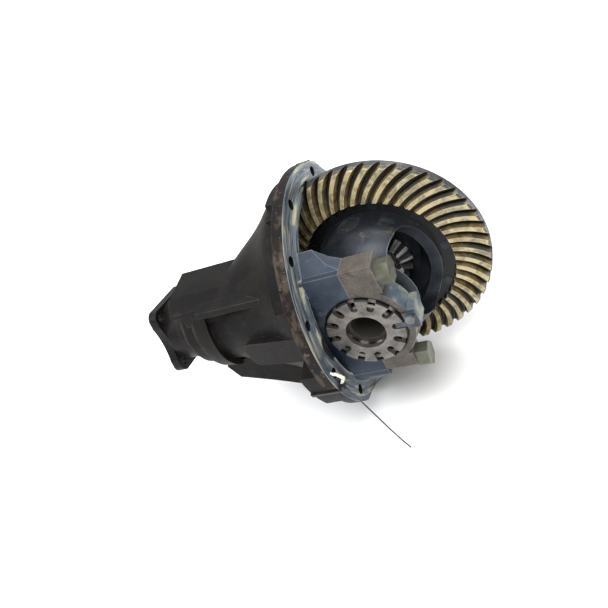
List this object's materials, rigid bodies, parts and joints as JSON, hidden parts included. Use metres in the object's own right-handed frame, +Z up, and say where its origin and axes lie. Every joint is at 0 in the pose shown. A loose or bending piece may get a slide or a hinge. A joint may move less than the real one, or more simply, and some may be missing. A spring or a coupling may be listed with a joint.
{
  "type": "differential carrier assembly",
  "caption": "Rear axle final drive: cast carrier with round bolted flange, spiral bevel ring gear and pinion, differential case with bevel gears, capped side bearings and drive flange.",
  "frame": {"origin": "centre of the mounting flange's bolt circle, on the flange's rear face that meets the axle housing", "axes": "+X rearwards along the pinion line, +Y along the axle towards the ring gear's back, +Z up as fitted in an axle"},
  "size_m": [0.406, 0.3047, 0.2858],
  "materials": {
    "carrier_housing": "grey-blue oily cast iron behind, satin black paint on the nose",
    "bearing_cap_left": "matt grey-brown cast",
    "cap_bolts_left": "dull zinc and oil",
    "bearing_adjuster_left": "machined, satin",
    "adjuster_lock_left": "dull",
    "side_bearing_cup_left": "ground",
    "side_bearing_cone_left": "ground",
    "side_bearing_rollers_left": "polished",
    "side_bearing_cage_left": "pressed",
    "side_gear_left": "machined, oily",
    "bearing_cap_right": "matt grey-brown cast",
    "cap_bolts_right": "dull zinc and oil",
    "bearing_adjuster_right": "machined, satin",
    "adjuster_lock_right": "dull",
    "side_bearing_cup_right": "ground",
    "side_bearing_cone_right": "ground",
    "side_bearing_rollers_right": "polished",
    "side_bearing_cage_right": "pressed",
    "side_gear_right": "machined, oily",
    "adjuster_lock_bolts": "dull zinc",
    "pinion_head_bearing_cup": "ground",
    "pinion_head_bearing_cone": "ground",
    "pinion_head_rollers": "polished",
    "pinion_head_cage": "pressed",
    "pinion_tail_bearing_cup": "ground",
    "pinion_tail_bearing_cone": "ground",
    "pinion_tail_rollers": "polished",
    "pinion_tail_cage": "pressed",
    "pinion_oil_seal": "black, matt",
    "cable_tie": "black nylon",
    "hang_tag": "white, torn",
    "differential_case": "dark blue-grey, oily",
    "ring_gear": "khaki marking compound on ground steel",
    "ring_gear_bolts": "black oxide",
    "cross_shaft": "ground",
    "cross_shaft_pin": "plain",
    "side_gear_washers": "plain",
    "spider_gear_washers": "plain",
    "spider_gear_upper": "machined, oily",
    "spider_gear_lower": "machined, oily",
    "drive_pinion": "ground, oily",
    "pinion_spacer": "plain",
    "oil_slinger": "plain",
    "drive_flange": "black, satin",
    "dust_shield": "black, satin",
    "pinion_washer": "plain",
    "pinion_nut": "dull"
  },
  "bodies": {
    "carrier": {"carrier_housing": "carrier_housing", "bearing_cap_left": "bearing_cap_left", "bearing_cap_right": "bearing_cap_right", "cap_bolts_left": "cap_bolts_left", "cap_bolts_right": "cap_bolts_right", "bearing_adjuster_left": "bearing_adjuster_left", "bearing_adjuster_right": "bearing_adjuster_right", "adjuster_lock_left": "adjuster_lock_left", "adjuster_lock_right": "adjuster_lock_right", "adjuster_lock_bolts": "adjuster_lock_bolts", "side_bearing_cup_left": "side_bearing_cup_left", "side_bearing_cup_right": "side_bearing_cup_right", "pinion_head_bearing_cup": "pinion_head_bearing_cup", "pinion_tail_bearing_cup": "pinion_tail_bearing_cup", "pinion_oil_seal": "pinion_oil_seal", "cable_tie": "cable_tie", "hang_tag": "hang_tag"},
    "differential": {"differential_case": "differential_case", "ring_gear": "ring_gear", "ring_gear_bolts": "ring_gear_bolts", "side_bearing_cone_left": "side_bearing_cone_left", "side_bearing_cone_right": "side_bearing_cone_right", "cross_shaft": "cross_shaft", "cross_shaft_pin": "cross_shaft_pin", "side_gear_washers": "side_gear_washers", "spider_gear_washers": "spider_gear_washers"},
    "pinion": {"drive_pinion": "drive_pinion", "pinion_head_bearing_cone": "pinion_head_bearing_cone", "pinion_tail_bearing_cone": "pinion_tail_bearing_cone", "pinion_spacer": "pinion_spacer", "oil_slinger": "oil_slinger", "drive_flange": "drive_flange", "dust_shield": "dust_shield", "pinion_washer": "pinion_washer", "pinion_nut": "pinion_nut"},
    "side_gear_l": {"side_gear_left": "side_gear_left"},
    "side_gear_r": {"side_gear_right": "side_gear_right"},
    "spider_u": {"spider_gear_upper": "spider_gear_upper"},
    "spider_l": {"spider_gear_lower": "spider_gear_lower"},
    "side_rollers_l": {"side_bearing_rollers_left": "side_bearing_rollers_left", "side_bearing_cage_left": "side_bearing_cage_left"},
    "side_rollers_r": {"side_bearing_rollers_right": "side_bearing_rollers_right", "side_bearing_cage_right": "side_bearing_cage_right"},
    "head_rollers": {"pinion_head_rollers": "pinion_head_rollers", "pinion_head_cage": "pinion_head_cage"},
    "tail_rollers": {"pinion_tail_rollers": "pinion_tail_rollers", "pinion_tail_cage": "pinion_tail_cage"}
  },
  "joints": [
    {"name": "case_spin", "type": "hinge", "parent": "carrier", "child": "differential", "pos_m": [0.0445, 0, 0], "axis": [0, 1, 0], "continuous": true},
    {"name": "pinion_spin", "type": "hinge", "parent": "carrier", "child": "pinion", "pos_m": [-0.1, -0.0185, 0], "axis": [1, 0, 0], "continuous": true},
    {"name": "side_gear_left_spin", "type": "hinge", "parent": "differential", "child": "side_gear_l", "pos_m": [0.0445, -0.005, 0], "axis": [0, 1, 0], "continuous": true},
    {"name": "side_gear_right_spin", "type": "hinge", "parent": "differential", "child": "side_gear_r", "pos_m": [0.0445, -0.005, 0], "axis": [0, 1, 0], "continuous": true},
    {"name": "spider_upper_spin", "type": "hinge", "parent": "differential", "child": "spider_u", "pos_m": [0.0445, -0.005, 0], "axis": [-0.1045, 0, 0.9945], "continuous": true},
    {"name": "spider_lower_spin", "type": "hinge", "parent": "differential", "child": "spider_l", "pos_m": [0.0445, -0.005, 0], "axis": [-0.1045, 0, 0.9945], "continuous": true},
    {"name": "side_rollers_left_spin", "type": "hinge", "parent": "carrier", "child": "side_rollers_l", "pos_m": [0.0445, 0, 0], "axis": [0, 1, 0], "continuous": true},
    {"name": "side_rollers_right_spin", "type": "hinge", "parent": "carrier", "child": "side_rollers_r", "pos_m": [0.0445, 0, 0], "axis": [0, 1, 0], "continuous": true},
    {"name": "head_rollers_spin", "type": "hinge", "parent": "carrier", "child": "head_rollers", "pos_m": [-0.1, -0.0185, 0], "axis": [1, 0, 0], "continuous": true},
    {"name": "tail_rollers_spin", "type": "hinge", "parent": "carrier", "child": "tail_rollers", "pos_m": [-0.17, -0.0185, 0], "axis": [1, 0, 0], "continuous": true}
  ],
  "couplings": [
    {"joint": "pinion_spin", "follows": "case_spin", "ratio": 3.4615},
    {"joint": "side_rollers_left_spin", "follows": "case_spin", "ratio": 0.45475},
    {"joint": "side_rollers_right_spin", "follows": "case_spin", "ratio": 0.45475},
    {"joint": "head_rollers_spin", "follows": "case_spin", "ratio": 1.5437},
    {"joint": "tail_rollers_spin", "follows": "case_spin", "ratio": 1.5223},
    {"joint": "side_gear_right_spin", "follows": "side_gear_left_spin", "ratio": -1},
    {"joint": "spider_upper_spin", "follows": "side_gear_left_spin", "ratio": 1.6},
    {"joint": "spider_lower_spin", "follows": "side_gear_left_spin", "ratio": -1.6}
  ]
}
